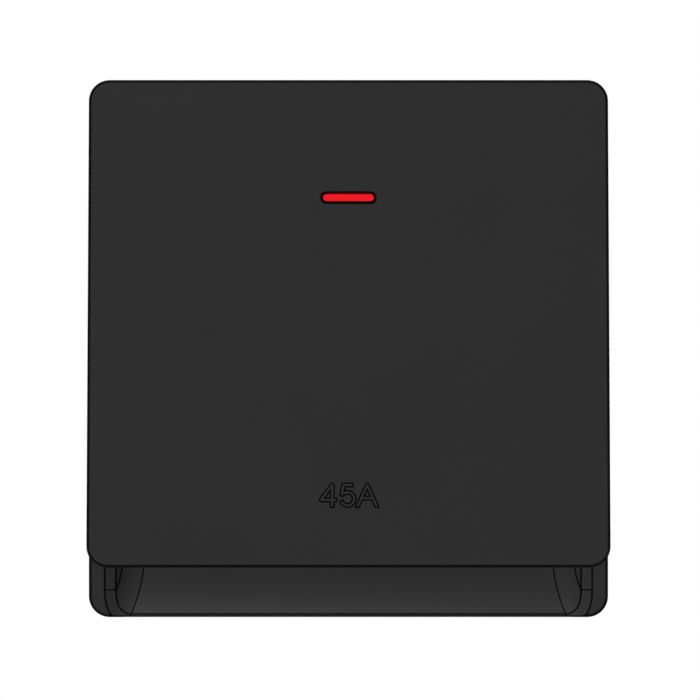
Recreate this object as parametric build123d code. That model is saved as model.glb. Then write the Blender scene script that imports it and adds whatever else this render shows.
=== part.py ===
from build123d import *
import os
from math import asin, atan, cos, degrees, radians, sin, sqrt, tan

# Double pole wall switch: a wide rocker over a dished frame, with two see-saw contact sets behind the wall.
# The wall is the plane Y = 0, X points right and Z up, and the room lies on the -Y side.
# A "front" is a distance in front of the wall (minus Y); a "depth" is a distance behind it (plus Y).
# All sizes are in millimetres and degrees. The rocker is drawn in its off position.

# Plate outline and frame
plate_width = 87.0
plate_height = 90.0
corner_radius = 3.5
edge_round = 0.4
frame_front = 7.2           # rim of the frame
frame_wall = 1.8            # outer wall
face_wall = 1.6             # behind the rim
rim_width = 2.7
band_width = 1.8            # slanted band inside the rim
band_drop = 0.8
band_over = 0.3             # share of the drop that the band's cutter stands above the rim
dish_depth = 3.4
dish_wall = 1.5
dish_slope = 45.0           # side walls of the dish, from the rim's plane
dish_fillet = 4.8
apron_radius = 22.0         # hollow finger scoop under the rocker
lip_width = 0.5             # flat lip below the scoop
ledge_width = 1.3           # dish floor left round the window
apron_ledge = 3.0           # dish floor left above the scoop
window_radius = 3.0
prise_width = 8.0           # slot for prising the frame off
prise_height = 1.4
overrun = 1.0               # how far a cutter runs past what it cuts
weld = 0.5                  # how far shapes of one moulding run into each other

# Frame clips
hook_position = 22.0        # above and below the middle
hook_length = 8.0
hook_thickness = 1.4
hook_gap = 0.3              # flexing gap outside a hook
barb_reach = 0.8
barb_height = 0.65
barb_clearance = 0.15
hook_lift = 0.2             # hooks clear of the wall
clip_clearance = 0.2

# Mounting plate
base_thickness = 2.0
base_gap = 0.4              # to the frame's outer wall
base_corner = 2.0
fixing_spacing = 60.3
fixing_hole_radius = 2.1
fixing_slot_length = 6.0
fixing_land = 1.4           # width of the raised land round a slot
fixing_land_height = 0.6
window_clearance = 0.6
plate_window_radius = 1.0
cheek_thickness = 2.5
cheek_clearance = 0.3
cheek_radius = 4.0
relief_depth = 0.9          # shallow pockets moulded in the rear face
relief_border = 2.6
shelf_border = 0.25         # border of the pockets beyond the housing's ends, as a share of that shelf
relief_radius = 0.4         # corners of a pocket, as a share of its border

# Rocker
rocker_inset = 0.4
rocker_height = 80.7
rocker_edge = 3.0           # visible edge
rocker_face = 1.8           # wall behind the face
rocker_rim = 1.6
rocker_gap = 2.8            # rim to rocker edge in mid travel
rocker_tilt = 3.0           # each way
rocker_round = 0.35
skirt_clearance = 0.8
skirt_wall = 1.4
skirt_front = 5.2           # rear edge of the skirt
skirt_corner = 2.5
rib_thickness = 1.2
rib_height = 1.6
rib_offset = 20.0
cross_rib_offset = 10.0

# Dolly, the carrier under the rocker
pivot_front = 4.6
trunnion_radius = 2.5
running_fit = 0.05
dolly_end = 1.7             # body beyond the plunger tubes
dolly_half_height = 8.0
dolly_round = 1.0
dolly_front = 9.0
dolly_rear = 2.8
tube_wall = 1.2
tube_reach = 15.0           # pivot to the mouth of a plunger tube
leg_width = 5.0
leg_thickness = 1.2
leg_offset = 6.0
leg_barb = 0.8
leg_drop = 0.3              # end of a leg behind the pivot
leg_barb_height = 1.2

# Plungers and springs
pole_offset = 13.0
plunger_radius = 2.25
plunger_length = 12.0
plunger_reach = 20.0        # pivot to the tip
plunger_nose = 1.9
plunger_clearance = 0.12
slide_fit = 0.05
spring_wire = 0.5
spring_turns = 5.0
spring_length = 7.0

# Contacts
bar_width = 6.0
bar_thickness = 1.8
bar_corner = 0.8
bar_margin = 0.5            # copper beyond the tip
bar_swing = 12.0
contact_arm = 13.5
tail_arm = 7.0
tip_radius = 2.2
tip_thickness = 0.9
tip_round = 0.3
closed_gap = 0.1            # left between the tips when closed
fulcrum_radius = 0.8
fulcrum_fit = 0.08
fulcrum_height = 1.8
cradle_gap = 0.2
cradle_ear = 1.0
cradle_half = 3.0           # half length of the cradle's floor
cradle_ear_half = 2.2
cradle_ear_drop = 0.3       # ears below the bar's front
strip_width = 7.0
strip_thickness = 1.5
pad_margin = 0.6            # load strip beyond its tip
riser_clearance = 0.4       # swing of the bar's end to the bent strip

# Terminals
block_width = 10.0
block_length = 11.6
block_depth = 12.8
block_round = 0.6
block_clearance = 0.6       # bent strip to the block
tail_end = 0.5              # tail short of the block's outer end
tail_fit = 0.1
wire_radius = 3.1
tail_cover = 0.8            # block wall in front of the strip's tail
tail_wall = 0.6             # block wall between tail and wire
clamp_radius = 2.5
clamp_head_radius = 3.0
clamp_head_height = 2.4
clamp_lift = 0.8            # head clear of the block, ready for a wire
clamp_stop = 0.4            # screw's end short of the wire bore
thread_fit = 0.05
slot_width = 1.0
slot_depth = 1.0

# Rear housing
housing_wall = 1.8
housing_floor = 2.0
housing_corner = 2.5
housing_round = 1.0
core_radius = 1.0
chamber_half_width = 4.45
pocket_clearance = 0.1
entry_radius = 3.8
entry_chamfer = 0.8
access_radius = 3.4
panel_width = 12.0          # bare sunk panel on the back
panel_height = 30.0
panel_depth = 0.5
panel_radius = 1.5
ear_radius = 3.2
ear_depth = 6.0
ear_height = 25.0           # above and below the middle
boss_radius = 2.7
boss_front = 6.6
housing_screw_radius = 1.3
housing_screw_head = 2.5
housing_screw_head_height = 1.8
housing_screw_bite = 5.4
bite_clearance = 0.4        # hole beyond the screw's end
head_clearance = 0.4        # screw head to the box

# Indicator
lens_height = 24.58         # above the pivot, along the rocker
lens_length = 8.4
lens_thickness = 1.15
lens_gap = 0.25
lens_recess = 0.05
lens_flange = 1.3
lens_flange_thickness = 1.0
lens_guide_front = 9.2
lens_rib_gap = 2.8          # flange to the rib above it
lamp_radius = 2.1
lamp_length = 10.0
lamp_end = 0.6              # rounding of the glass ends, as a share of the radius
lamp_front = 4.7
lead_radius = 0.35
lead_bend = 1.5
lead_hole_radius = 0.7
lead_offset = 14.5
lead_clearance = 0.45       # lead to the terminal block
resistor_radius = 1.2
resistor_waist = 0.85       # middle of the resistor, as a share of its ends
resistor_length = 5.0
resistor_offset = 9.6
saddle_thickness = 1.4
saddle_width = 6.0
saddle_offset = 3.2
saddle_fit = 0.05
tolerance = 0.01            # for telling edges apart

# Related sizes
slope = radians(dish_slope)
tilt = radians(rocker_tilt)
rim_ratio = band_width / band_drop
inner_half_width = plate_width / 2 - frame_wall
inner_half_height = plate_height / 2 - frame_wall
dish_half_width = plate_width / 2 - rim_width - band_width
dish_top = plate_height / 2 - rim_width - band_width
dish_fall = dish_depth - band_drop
lip_height = -plate_height / 2 + lip_width
apron_top = lip_height + sqrt(2 * apron_radius * dish_fall - dish_fall**2)
window_half_width = dish_half_width - dish_fall / tan(slope) - ledge_width
window_top = dish_top - dish_fall / tan(slope) - ledge_width
window_bottom = apron_top + apron_ledge
rocker_width = plate_width - 2 * rocker_inset
rocker_back = frame_front + rocker_gap
rocker_front = rocker_back + rocker_edge
rocker_inside = rocker_front - rocker_face
rocker_top = (plate_height / 2 - rocker_inset - (rocker_front - pivot_front) * sin(tilt)) / cos(tilt)
rocker_middle = rocker_top - rocker_height / 2
lamp_height = lens_height
lens_rib = lens_height + lens_thickness / 2 + lens_flange + lens_rib_gap + rib_thickness / 2
skirt_half_width = window_half_width - skirt_clearance
skirt_top = window_top - skirt_clearance
skirt_bottom = window_bottom + skirt_clearance
tube_bore = plunger_radius + slide_fit
tube_radius = tube_bore + tube_wall
dolly_half_length = pole_offset + tube_radius + dolly_end
tip_depth = plunger_reach - pivot_front
spring_seat = pivot_front - plunger_reach + plunger_length + spring_length
bar_depth = tip_depth + plunger_clearance
hinge_depth = bar_depth + bar_thickness
strip_depth = hinge_depth + fulcrum_height
strip_back = strip_depth + strip_thickness
fixed_tip_depth = hinge_depth + tip_thickness + closed_gap
bar_top = contact_arm + tip_radius + bar_margin
riser_inner = sqrt(bar_top**2 + bar_thickness**2) + riser_clearance
riser_outer = riser_inner + strip_thickness
block_inner = riser_outer + block_clearance
block_outer = block_inner + block_length
block_front = strip_depth - block_depth
tail_depth = block_front + tail_cover
lead_height = block_inner - lead_clearance - lead_radius
wire_depth = tail_depth + strip_thickness + tail_wall + wire_radius
housing_half_width = pole_offset + chamber_half_width + housing_wall
housing_half_height = block_outer + pocket_clearance + housing_wall
housing_depth = strip_back + housing_floor
ear_offset = housing_half_width + housing_screw_head + head_clearance
clamp_head_depth = strip_depth + clamp_lift
cheek_inner = dolly_half_length + cheek_clearance
cheek_outer = cheek_inner + cheek_thickness
base_half_width = inner_half_width - base_gap
base_half_height = inner_half_height - base_gap
hook_outer = inner_half_width - hook_gap
hook_inner = hook_outer - hook_thickness
poles = {"line": pole_offset, "neutral": -pole_offset}


def slab(width, height, front_from, front_to, radius=0.0, x=0.0, z=0.0):
    """Block parallel to the wall, between two fronts, with rounded corners."""
    outline = RectangleRounded(width, height, radius) if radius else Rectangle(width, height)
    return extrude(Plane.XZ.offset(front_from) * Pos(x, z) * outline, amount=front_to - front_from)


def span(x_from, x_to, front_from, front_to, z_from, z_to):
    """Square block between limits."""
    middle = Pos((x_from + x_to) / 2, -(front_from + front_to) / 2, (z_from + z_to) / 2)
    return middle * Box(abs(x_to - x_from), abs(front_to - front_from), abs(z_to - z_from))


def peg(radius, front_from, front_to, x=0.0, z=0.0):
    """Round bar square to the wall."""
    return extrude(Plane.XZ.offset(front_from) * Pos(x, z) * Circle(radius), amount=front_to - front_from)


def axle(radius, x_from, x_to, front, z=0.0):
    """Round bar along X."""
    return extrude(Plane.YZ.offset(x_from) * Pos(-front, z) * Circle(radius), amount=x_to - x_from)


def post(radius, z_from, z_to, x, front):
    """Round bar along Z."""
    return extrude(Plane.XY.offset(z_from) * Pos(x, -front) * Circle(radius), amount=z_to - z_from)


def stadium(length, width, front_from, front_to, x=0.0, z=0.0):
    """Block with round ends, long along X."""
    outline = Plane.XZ.offset(front_from) * Pos(x, z) * SlotOverall(length, width)
    return extrude(outline, amount=front_to - front_from)


def tilted(shape):
    """Turn a piece of the rocker from mid travel to its off position."""
    return shape.rotate(Axis((0, -pivot_front, 0), (1, 0, 0)), -rocker_tilt)


def opened(shape):
    """Turn a contact bar from closed to open."""
    return shape.rotate(Axis((0, hinge_depth, 0), (1, 0, 0)), bar_swing)


def dish_half(front, grow):
    """Half width of the dish at a front."""
    drop = frame_front - front - band_drop
    return dish_half_width + grow / sin(slope) - drop / tan(slope)


def dish(grow):
    """Dish under the rocker with its hollow apron, grown outwards by a wall thickness."""
    over = frame_front + 2 * overrun
    floor = frame_front - dish_depth - grow
    radius = apron_radius + grow
    centre = frame_front - dish_depth + apron_radius
    foot = apron_top - sqrt(radius**2 - (centre - over) ** 2)
    half_turn = asin((apron_top - foot) / radius) / 2
    rise = dish_top - dish_half_width
    with BuildSketch(Plane.YZ) as profile:
        with BuildLine():
            top_floor = (-floor, dish_half(floor, grow) + rise)
            top_over = (-over, dish_half(over, grow) + rise)
            Polyline((-floor, apron_top), top_floor, top_over, (-over, foot))
            middle = (-centre + radius * cos(half_turn), apron_top - radius * sin(half_turn))
            ThreePointArc((-over, foot), middle, (-floor, apron_top))
        make_face()
    with BuildSketch(Plane.XY) as section:
        with BuildLine():
            low = dish_half(floor, grow)
            high = dish_half(over, grow)
            Polyline((-low, -floor), (low, -floor), (high, -over), (-high, -over), close=True)
        make_face()
    body = extrude(profile.sketch, amount=plate_width, both=True)
    body = body & extrude(section.sketch, amount=plate_height, both=True)
    bottom = body.faces().sort_by(Axis.Y)[-1]
    hollow = body.faces().filter_by(GeomType.CYLINDER)[0]
    seam = bottom.edges() + hollow.edges()
    sides = [edge for edge in seam if abs(edge.center().X) > overrun]
    rounded = [edge for edge in sides if edge.center().Y > -frame_front - overrun]
    return fillet(rounded, dish_fillet + grow)


def dish_and_band():
    """Cutter for the dish below the band and for the slanted band that leads down to its opening."""
    level = Plane.XZ.offset(frame_front - band_drop)
    hollow = split(dish(0), level, keep=Keep.BOTTOM)
    opening = hollow.faces().sort_by(Axis.Y)[0]
    half = split(opening, Plane.YZ)
    rise = band_drop * (1 + band_over)
    band = extrude(half, amount=rise, dir=(0, -1, 0), taper=-degrees(atan(rim_ratio)))
    return hollow + (band + mirror(band, Plane.YZ))


def frame_hook(side, height):
    """Clip arm with a barb that catches under the mounting plate's edge."""
    half = hook_length / 2
    arm = span(hook_inner, hook_outer, hook_lift, frame_front - face_wall + weld, -half, half)
    tip = span(hook_inner - barb_reach, hook_inner, hook_lift, hook_lift + barb_height, -half, half)
    hook = Pos(0, 0, height) * (arm + tip)
    return hook if side > 0 else mirror(hook, Plane.YZ)


def front_frame():
    """Surround with its dished front, clips and prising slot."""
    outer = slab(plate_width, plate_height, 0, frame_front, corner_radius)
    outer = fillet(outer.faces().sort_by(Axis.Y)[0].edges(), edge_round)
    inner_radius = corner_radius - frame_wall
    ceiling = frame_front - face_wall
    inside = slab(2 * inner_half_width, 2 * inner_half_height, -overrun, ceiling, inner_radius)
    window_height = window_top - window_bottom
    window_middle = (window_top + window_bottom) / 2
    window_width = 2 * window_half_width
    window = slab(window_width, window_height, -overrun, frame_front, window_radius, z=window_middle)
    frame = outer - (inside - dish(dish_wall)) - dish_and_band() - window
    for side in (1, -1):
        for height in (hook_position, -hook_position):
            frame = frame + frame_hook(side, height)
    half = prise_width / 2
    prise = span(-half, half, -overrun, prise_height, -plate_height, -inner_half_height + weld)
    return frame - prise


def clip_notch(side, height):
    """Notch in the mounting plate's edge for one frame hook."""
    reach = hook_length / 2 + clip_clearance
    edge = plate_width
    barb_room = hook_lift + barb_height + barb_clearance
    through = span(hook_inner - clip_clearance, edge, -overrun, base_thickness + overrun, -reach, reach)
    under = span(hook_inner - barb_reach - clip_clearance, edge, -overrun, barb_room, -reach, reach)
    notch = Pos(0, 0, height) * (through + under)
    return notch if side > 0 else mirror(notch, Plane.YZ)


def bearing_cheek(side):
    """Upright cheek that holds one trunnion."""
    near, far = sorted((side * cheek_inner, side * cheek_outer))
    cheek = axle(cheek_radius, near, far, pivot_front)
    cheek += span(near, far, base_thickness / 2, pivot_front, -cheek_radius, cheek_radius)
    return cheek


def lamp_saddle(x):
    """Small upright with a round seat for the lamp."""
    near, far = x - saddle_thickness / 2, x + saddle_thickness / 2
    low, high = lamp_height - saddle_width / 2, lamp_height + saddle_width / 2
    return span(near, far, base_thickness / 2, lamp_front, low, high)


def rear_reliefs():
    """Shallow pockets round the housing that leave stiffening ribs between them."""
    inner = ear_offset + ear_radius + relief_border
    outer = hook_inner - barb_reach - relief_border
    low = fixing_hole_radius + fixing_land + relief_border
    border = shelf_border * (base_half_height - housing_half_height)
    high = base_half_height - border
    shelf = housing_half_height + border
    radius = relief_radius * border
    middle = (low + high) / 2
    quarter = slab(outer - inner, high - low, -overrun, relief_depth, radius, (inner + outer) / 2, middle)
    width = inner - 2 * relief_border
    quarter += slab(width, high - shelf, -overrun, relief_depth, radius, inner / 2, (shelf + high) / 2)
    half = quarter + mirror(quarter, Plane.YZ)
    return half + mirror(half, Plane.XY)


def mounting_plate():
    """Plate fixed to the wall box: bearings, clips, screw slots and lamp saddles."""
    plate = slab(2 * base_half_width, 2 * base_half_height, 0, base_thickness, base_corner)
    for x in (fixing_spacing / 2, -fixing_spacing / 2):
        land_length = fixing_slot_length + 2 * fixing_land
        land_width = 2 * (fixing_hole_radius + fixing_land)
        plate += stadium(land_length, land_width, 0, base_thickness + fixing_land_height, x)
    for x in (ear_offset, -ear_offset):
        for z in (ear_height, -ear_height):
            plate += peg(boss_radius, 0, boss_front, x, z)
    for side in (1, -1):
        plate += bearing_cheek(side) + lamp_saddle(side * saddle_offset)
    window_width = 2 * (dolly_half_length + window_clearance / 2)
    window_height = 2 * (dolly_half_height + leg_thickness + 2 * window_clearance)
    plate -= slab(window_width, window_height, -overrun, base_thickness, plate_window_radius)
    plate -= axle(trunnion_radius + running_fit, -cheek_outer - overrun, cheek_outer + overrun, pivot_front)
    plate -= axle(lamp_radius + saddle_fit, -lamp_length, lamp_length, lamp_front, lamp_height)
    bite_end = housing_screw_bite + bite_clearance
    for x in (fixing_spacing / 2, -fixing_spacing / 2):
        plate -= stadium(fixing_slot_length, 2 * fixing_hole_radius, -overrun, base_thickness + overrun, x)
    for x in (ear_offset, -ear_offset):
        for z in (ear_height, -ear_height):
            plate -= peg(housing_screw_radius + thread_fit, -overrun, bite_end, x, z)
    for x in (lead_offset, -lead_offset):
        plate -= peg(lead_hole_radius, -overrun, base_thickness + overrun, x, lead_height)
    for side in (1, -1):
        for height in (hook_position, -hook_position):
            plate -= clip_notch(side, height)
    return plate - rear_reliefs()


def on_end(edge):
    """Whether an edge lies on the housing's top or bottom face."""
    return abs(abs(edge.center().Z) - housing_half_height) < tolerance


def rear_housing():
    """Moulded box behind the wall, open to the front, with chambers, pockets and screw ears."""
    box = slab(2 * housing_half_width, 2 * housing_half_height, -housing_depth, 0, housing_corner)
    box = fillet(box.faces().sort_by(Axis.Y)[-1].edges(), housing_round)
    for x in (ear_offset, -ear_offset):
        for z in (ear_height, -ear_height):
            box += peg(ear_radius, -ear_depth, 0, x, z)
            inward = housing_half_width * (1 if x > 0 else -1)
            box += span(inward, x, -ear_depth, 0, z - ear_radius, z + ear_radius)
    core = pole_offset - chamber_half_width - housing_wall
    barrier = housing_wall / 2
    for side in (1, -1):
        middle = side * (core + barrier) / 2
        height = 2 * (housing_half_height - housing_wall)
        box -= slab(core - barrier, height, -strip_back, overrun, core_radius, middle)
    for x in poles.values():
        box -= slab(2 * chamber_half_width, 2 * (block_inner - pocket_clearance), -strip_back, overrun, x=x)
        pocket = block_width + 2 * pocket_clearance
        box -= slab(pocket, 2 * (block_outer + pocket_clearance), -strip_depth, overrun, x=x)
        reach = housing_half_height + overrun
        box -= post(entry_radius, -reach, reach, x, -wire_depth)
        for side in (1, -1):
            middle = side * (block_inner + block_outer) / 2
            box -= peg(access_radius, -housing_depth - overrun, -strip_depth + overrun, x, middle)
    for x in (ear_offset, -ear_offset):
        for z in (ear_height, -ear_height):
            box -= peg(housing_screw_radius + thread_fit, -ear_depth - overrun, overrun, x, z)
    panel_floor = -housing_depth + panel_depth
    box -= slab(panel_width, panel_height, -housing_depth - overrun, panel_floor, panel_radius)
    circles = box.edges().filter_by(GeomType.CIRCLE)
    mouths = [edge for edge in circles if abs(edge.radius - entry_radius) < tolerance and on_end(edge)]
    return chamfer(mouths, entry_chamfer)


def housing_screw(x, z):
    """Self tapping screw through a housing ear."""
    head = peg(housing_screw_head, -ear_depth - housing_screw_head_height, -ear_depth, x, z)
    return head + peg(housing_screw_radius, -ear_depth, housing_screw_bite, x, z)


def rocker_legs():
    """Four snap legs that grip the dolly above and below."""
    legs = Part()
    inner = dolly_half_height + clip_clearance
    end = pivot_front - leg_drop
    for x in (leg_offset, -leg_offset):
        near, far = x - leg_width / 2, x + leg_width / 2
        leg = span(near, far, end, rocker_inside + weld, inner, inner + leg_thickness)
        leg += span(near, far, end, end + leg_barb_height, inner - leg_barb, inner)
        legs += leg + mirror(leg, Plane.XY)
    return legs


def rocker_plate():
    """Wide rocker in mid travel: face, edge, skirt, ribs and snap legs."""
    plate = slab(rocker_width, rocker_height, rocker_back, rocker_front, corner_radius, z=rocker_middle)
    plate = fillet(plate.faces().sort_by(Axis.Y)[0].edges(), rocker_round)
    hollow_width = rocker_width - 2 * rocker_rim
    hollow_height = rocker_height - 2 * rocker_rim
    inner_radius = corner_radius - rocker_rim
    hollow_back = rocker_back - overrun
    plate -= slab(hollow_width, hollow_height, hollow_back, rocker_inside, inner_radius, z=rocker_middle)
    skirt_height = skirt_top - skirt_bottom
    middle = (skirt_top + skirt_bottom) / 2
    root = rocker_inside + weld
    skirt = slab(2 * skirt_half_width, skirt_height, skirt_front, root, skirt_corner, z=middle)
    inside_width = 2 * (skirt_half_width - skirt_wall)
    inside_corner = skirt_corner - skirt_wall
    skirt -= slab(inside_width, skirt_height - 2 * skirt_wall, 0, rocker_front, inside_corner, z=middle)
    rib_front = rocker_inside - rib_height
    for x in (rib_offset, -rib_offset):
        skirt += slab(rib_thickness, skirt_height - skirt_wall, rib_front, root, x=x, z=middle)
    for z in (cross_rib_offset, -cross_rib_offset, lens_rib):
        skirt += slab(2 * skirt_half_width - skirt_wall, rib_thickness, rib_front, root, z=z)
    plate += skirt + rocker_legs()
    for x in poles.values():
        plate += peg(tube_radius, dolly_front, root, x)
    slot_length = lens_length + 2 * lens_gap
    slot_height = lens_thickness + 2 * lens_gap
    return plate - stadium(slot_length, slot_height, rocker_back, rocker_front + overrun, z=lens_height)


def indicator_lens():
    """Red light guide with a flange behind the rocker's face."""
    lens = stadium(lens_length, lens_thickness, lens_guide_front, rocker_front - lens_recess, z=lens_height)
    flange_length = lens_length + 2 * lens_flange
    flange_width = lens_thickness + 2 * lens_flange
    flange_rear = rocker_inside - lens_flange_thickness
    return lens + stadium(flange_length, flange_width, flange_rear, rocker_inside, z=lens_height)


def dolly():
    """Carrier in mid travel: body, trunnions, leg notches and two plunger tubes."""
    body = slab(2 * dolly_half_length, 2 * dolly_half_height, dolly_rear, dolly_front)
    body = fillet(body.edges().filter_by(Axis.X), dolly_round)
    body += axle(trunnion_radius, -cheek_outer, cheek_outer, pivot_front)
    mouth = pivot_front - tube_reach
    for x in poles.values():
        body += peg(tube_radius, mouth, dolly_rear + dolly_round, x)
    for x in poles.values():
        body -= peg(tube_bore, mouth - overrun, spring_seat, x)
    notch_inner = dolly_half_height - leg_barb
    notch_rear = pivot_front - leg_drop - clip_clearance
    notch_front = notch_rear + leg_barb_height + 2 * clip_clearance
    for x in (leg_offset, -leg_offset):
        near, far = x - leg_width / 2 - clip_clearance, x + leg_width / 2 + clip_clearance
        notch = span(near, far, notch_rear, notch_front, notch_inner, dolly_half_height + overrun)
        body -= notch + mirror(notch, Plane.XY)
    return body


def plunger(x):
    """Nylon plunger with a rounded nose."""
    tip = pivot_front - plunger_reach
    body = peg(plunger_radius, tip, tip + plunger_length, x)
    return fillet(body.edges().sort_by(Axis.Y)[-1], plunger_nose)


def plunger_spring(x):
    """Coil spring between the plunger and the end of its tube."""
    coil_radius = plunger_radius - spring_wire
    height = spring_length - spring_wire
    start = (x, -(spring_seat - spring_wire / 2), 0)
    coil = Helix(height / spring_turns, height, coil_radius, center=start, direction=(0, 1, 0))
    section = Plane(origin=coil @ 0, z_dir=coil % 0) * Rectangle(spring_wire, spring_wire)
    return sweep(section, path=coil, is_frenet=True)


def contact_bar(x):
    """Copper see-saw bar, closed, with a groove for its fulcrum."""
    half = bar_width / 2
    bar = span(x - half, x + half, -hinge_depth, -bar_depth, -tail_arm, bar_top)
    bar = fillet(bar.edges().filter_by(Axis.Y), bar_corner)
    return bar - axle(fulcrum_radius + fulcrum_fit, x - half - overrun, x + half + overrun, -hinge_depth)


def moving_tip(x):
    """Silver tip on the bar."""
    tip = peg(tip_radius, -hinge_depth - tip_thickness, -hinge_depth, x, contact_arm)
    return fillet(tip.edges().sort_by(Axis.Y)[-1], tip_round)


def fixed_tip(x):
    """Silver tip on the load strip."""
    tip = peg(tip_radius, -strip_depth, -fixed_tip_depth, x, contact_arm)
    return fillet(tip.edges().sort_by(Axis.Y)[0], tip_round)


def strip_riser(x):
    """Bent end of an upper strip, from the housing floor forward into a terminal block."""
    half = strip_width / 2
    near, far = x - half, x + half
    riser = span(near, far, -strip_back, -tail_depth, riser_inner, riser_outer)
    tail_top = block_outer - tail_end
    return riser + span(near, far, -tail_depth - strip_thickness, -tail_depth, riser_inner, tail_top)


def load_strip(x):
    """Brass strip that carries the fixed tip."""
    half = strip_width / 2
    foot = contact_arm - tip_radius - pad_margin
    pad = span(x - half, x + half, -strip_back, -strip_depth, foot, riser_outer)
    return pad + strip_riser(x)


def supply_strip(x):
    """Brass strip with the cradle and round ridge that the bar rocks on."""
    half = strip_width / 2
    ear_inner = bar_width / 2 + cradle_gap
    ear_outer = ear_inner + cradle_ear
    strip = span(x - half, x + half, -strip_back, -strip_depth, -riser_outer, cradle_half)
    strip += span(x - ear_outer, x + ear_outer, -strip_back, -strip_depth, -cradle_half, cradle_half)
    ridge = span(x - ear_inner, x + ear_inner, -strip_depth, -hinge_depth, -fulcrum_radius, fulcrum_radius)
    strip += ridge + axle(fulcrum_radius, x - ear_inner, x + ear_inner, -hinge_depth)
    for side in (1, -1):
        near, far = sorted((x + side * ear_inner, x + side * ear_outer))
        ear_front = -bar_depth - cradle_ear_drop
        strip += span(near, far, -strip_back, ear_front, -cradle_ear_half, cradle_ear_half)
    return strip + mirror(strip_riser(x), Plane.XY)


def terminal_block(x, side):
    """Brass tunnel block for one conductor, with a slot for the strip's tail."""
    middle = (block_inner + block_outer) / 2
    block = slab(block_width, block_length, -strip_depth, -block_front, x=x, z=middle)
    block = fillet(block.edges().filter_by(Axis.Y), block_round)
    block -= post(wire_radius, block_inner - overrun, block_outer + overrun, x, -wire_depth)
    half = strip_width / 2 + thread_fit
    tail_front = -tail_depth + thread_fit
    tail_rear = -tail_depth - strip_thickness - thread_fit
    tail_top = block_outer - tail_end + tail_fit
    block -= span(x - half, x + half, tail_rear, tail_front, block_inner - overrun, tail_top)
    block -= peg(clamp_radius, -strip_depth - overrun, -wire_depth, x, middle)
    return block if side > 0 else mirror(block, Plane.XY)


def terminal_screw(x, side):
    """Slotted clamping screw, backed off so that a wire can enter."""
    z = side * (block_inner + block_outer) / 2
    head_back = clamp_head_depth + clamp_head_height
    shank_end = wire_depth + wire_radius + clamp_stop
    screw = peg(clamp_radius - thread_fit, -clamp_head_depth, -shank_end, x, z)
    screw += peg(clamp_head_radius, -head_back, -clamp_head_depth, x, z)
    across = 2 * (clamp_head_radius + overrun)
    slot = slab(across, slot_width, -head_back - overrun, -head_back + slot_depth, x=x, z=z)
    return screw - slot


def indicator_lamp():
    """Glass lamp that lies behind the lens."""
    glass = axle(lamp_radius, -lamp_length / 2, lamp_length / 2, lamp_front, lamp_height)
    return fillet(glass.edges(), lamp_radius * lamp_end)


def lamp_resistor():
    """Resistor body with two thicker end caps, threaded on the lamp's lead."""
    half = resistor_length / 2
    body = axle(resistor_radius * resistor_waist, -half, half, lamp_front, lamp_height)
    for x in (-half, half / 2):
        body += axle(resistor_radius, x, x + half / 2, lamp_front, lamp_height)
    body -= axle(lead_radius, -resistor_length, resistor_length, lamp_front, lamp_height)
    return Pos(resistor_offset, 0, 0) * body


def lamp_lead(side):
    """Wire from one end of the lamp, through the mounting plate, to the tail of a load strip."""
    start = (side * lamp_length / 2, -lamp_front, lamp_height)
    corner = (side * lead_offset, -lamp_front, lamp_height)
    turn = (side * lead_offset, -lamp_front, lead_height)
    end = (side * lead_offset, tail_depth, lead_height)
    path = FilletPolyline(start, corner, turn, end, radius=lead_bend)
    section = Plane(origin=path @ 0, z_dir=path % 0) * Circle(lead_radius)
    return sweep(section, path=path)


def grouped(shapes):
    """Several loose solids in one node."""
    return Compound(children=[solid for shape in shapes for solid in shape.solids()])


def all_parts():
    """Every piece by name, in its place."""
    parts = {
        "front_frame": front_frame(),
        "mounting_plate": mounting_plate(),
        "rear_housing": rear_housing(),
        "rocker_plate": tilted(rocker_plate()),
        "indicator_lens": tilted(indicator_lens()),
        "dolly": tilted(dolly()),
        "indicator_lamp": indicator_lamp(),
        "lamp_resistor": lamp_resistor(),
    }
    corners = [(x, z) for x in (ear_offset, -ear_offset) for z in (ear_height, -ear_height)]
    parts["housing_screws"] = grouped([housing_screw(x, z) for x, z in corners])
    parts["terminal_screws"] = grouped([terminal_screw(x, side) for x in poles.values() for side in (1, -1)])
    for pole, x in poles.items():
        parts[f"plunger_{pole}"] = tilted(plunger(x))
        parts[f"plunger_spring_{pole}"] = tilted(plunger_spring(x))
        parts[f"contact_bar_{pole}"] = opened(contact_bar(x))
        parts[f"moving_tip_{pole}"] = opened(moving_tip(x))
        parts[f"fixed_tip_{pole}"] = fixed_tip(x)
        parts[f"load_strip_{pole}"] = load_strip(x)
        parts[f"supply_strip_{pole}"] = supply_strip(x)
        parts[f"load_terminal_{pole}"] = terminal_block(x, 1)
        parts[f"supply_terminal_{pole}"] = terminal_block(x, -1)
        parts[f"lamp_lead_{pole}"] = lamp_lead(1 if x > 0 else -1)
    return parts


os.makedirs("parts", exist_ok=True)
for name, shape in all_parts().items():
    export_step(shape, f"parts/{name}.step")
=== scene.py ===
"""Looks of a double pole wall switch: finishes, raised rating mark, screws, springs, studio and camera.

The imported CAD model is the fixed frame. Its nodes keep their shape and get procedural finishes.
New pieces are surfaces worked out on grids. Lengths in the classes are in millimetres.
"""

import logging
from dataclasses import dataclass, field, replace
from enum import Enum
from math import cos, radians, sqrt

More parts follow.
